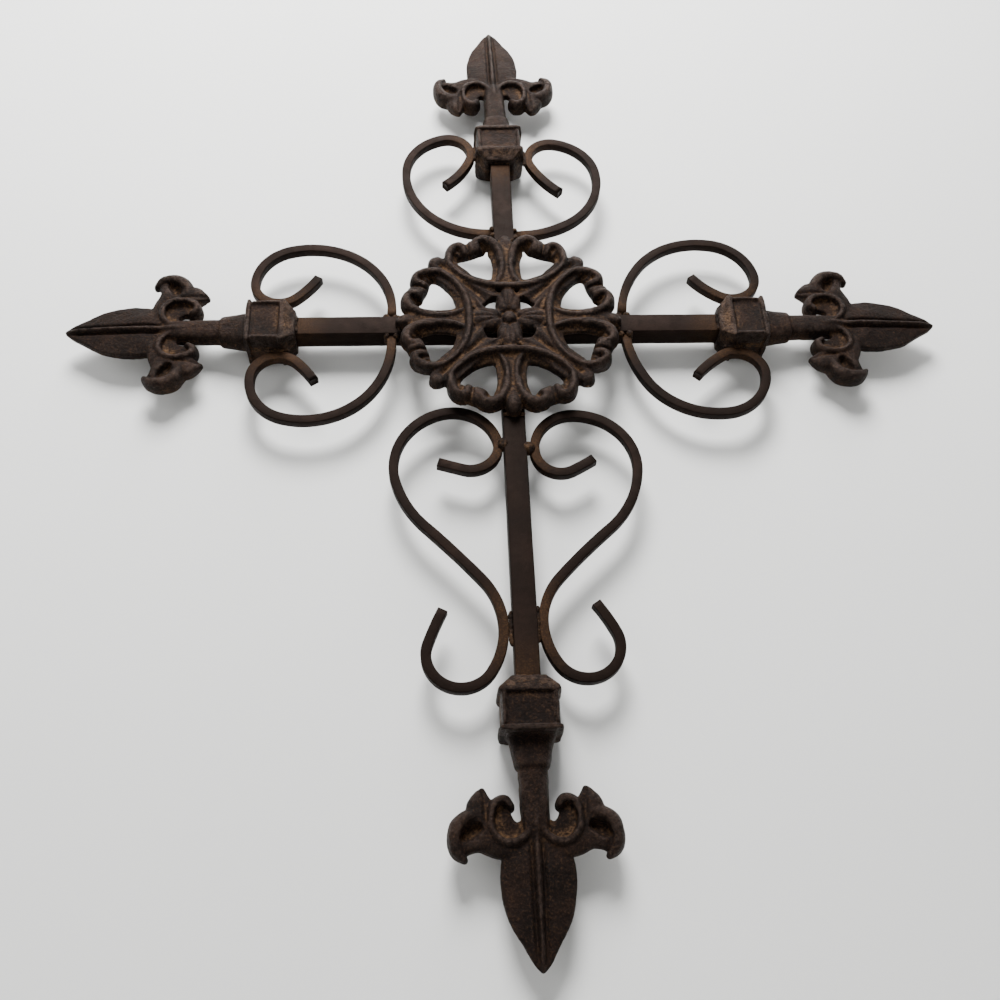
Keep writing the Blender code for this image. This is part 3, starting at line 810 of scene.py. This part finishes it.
def stage_material(name, code, one_sided=False):
    """Matt emulsion paint, plain and pale with a faint cloud. One-sided paint lets light and sight
    through from behind, so that it hides nothing from there."""
    material, tree, shader = new_material(name)
    place = node(tree, "ShaderNodeTexCoord", out="Object")
    cloud = node(tree, "ShaderNodeTexNoise", [place, 3.0, 2.0])
    cloud = node(tree, "ShaderNodeMapRange", [cloud, 0.3, 0.7, 0.0, 0.3])
    tone = node(tree, "ShaderNodeMix", [cloud, code, "#d9d9d7"], data_type="RGBA")
    tree.links.new(tone, shader.inputs["Base Color"])
    shader.inputs["Roughness"].default_value = 0.85
    if one_sided:
        behind = node(tree, "ShaderNodeNewGeometry", out="Backfacing")
        clear = node(tree, "ShaderNodeBsdfTransparent")
        mixed = node(tree, "ShaderNodeMixShader", [behind, shader.outputs[0], clear])
        tree.links.new(mixed, tree.nodes["Material Output"].inputs["Surface"])
    return material


def flat_stage(name, corners, material):
    """A flat surface that isn't part of the object."""
    mesh = bpy.data.meshes.new(name)
    mesh.from_pydata(corners, [], [tuple(range(len(corners)))])
    mesh.materials.append(material)
    obj = bpy.data.objects.new(name, mesh)
    bpy.context.scene.collection.objects.link(obj)


def stage():
    """Pale wall just behind the collars, and pale floor."""
    wall = stage_material("pale_wall_paint", "#e6e6e4", True)
    floor = stage_material("pale_floor_paint", "#e6e6e4")
    flat_stage("wall", [(-2.2, WALL, FLOOR), (2.2, WALL, FLOOR), (2.2, WALL, 2.2), (-2.2, WALL, 2.2)], wall)
    flat_stage("floor", [(-4, -4, FLOOR), (4, -4, FLOOR), (4, 4, FLOOR), (-4, 4, FLOOR)], floor)


def soft_light(name, place, aim, size, watts):
    """A white disc light of the given width, aimed at a place."""
    data = bpy.data.lights.new(name, "AREA")
    data.shape = "DISK"
    data.size = size
    data.energy = watts
    obj = bpy.data.objects.new(name, data)
    bpy.context.scene.collection.objects.link(obj)
    obj.location = place
    obj.rotation_mode = "QUATERNION"
    obj.rotation_quaternion = (Vector(aim) - Vector(place)).to_track_quat("-Z", "Y")


def light_and_camera():
    """Soft light from above, and a camera below the foot that looks up the cross as the photo does."""
    world = bpy.data.worlds.new("studio")
    bpy.context.scene.world = world
    world.use_nodes = True
    back = world.node_tree.nodes["Background"]
    back.inputs["Color"].default_value = linear("#e6e7ea")
    back.inputs["Strength"].default_value = 0.3
    soft_light("overhead", (-0.11, -0.82, 0.82), (-0.1, 0, 0.25), 0.62, 42)
    soft_light("ceiling", (0.3, -0.6, 1.5), (0, 0, 0), 0.8, 16)
    soft_light("side_fill", (-1.4, -1.0, 0.3), (0, 0, 0), 1.2, 8)
    soft_light("back_fill", (-0.9, 1.2, 0.9), (0, 0, 0), 1.0, 26)
    data = bpy.data.cameras.new("photo_view")
    data.lens = 38.65
    data.sensor_width = 36
    data.clip_start = 0.01
    camera = bpy.data.objects.new("photo_view", data)
    bpy.context.scene.collection.objects.link(camera)
    right, up, view = (0.9985, -0.0370, -0.0400), (0.0168, -0.4885, 0.8724), (0.0518, 0.8718, 0.4871)
    matrix = Matrix((right, up, [-v for v in view])).transposed().to_4x4()
    matrix.translation = (-0.0404, -0.5153 - BAR / 2, -0.4053)
    camera.matrix_world = matrix
    bpy.context.scene.camera = camera


def main():
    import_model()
    iron, bars = sand_cast_iron(), bar_iron()
    rosette_piece(iron)
    finial_pieces(iron)
    seams = scroll_pieces(bars) + joint_seams()
    bar_pieces(bars)
    weld_piece(seams, iron)
    stage()
    light_and_camera()
    bpy.context.view_layer.update()


main()
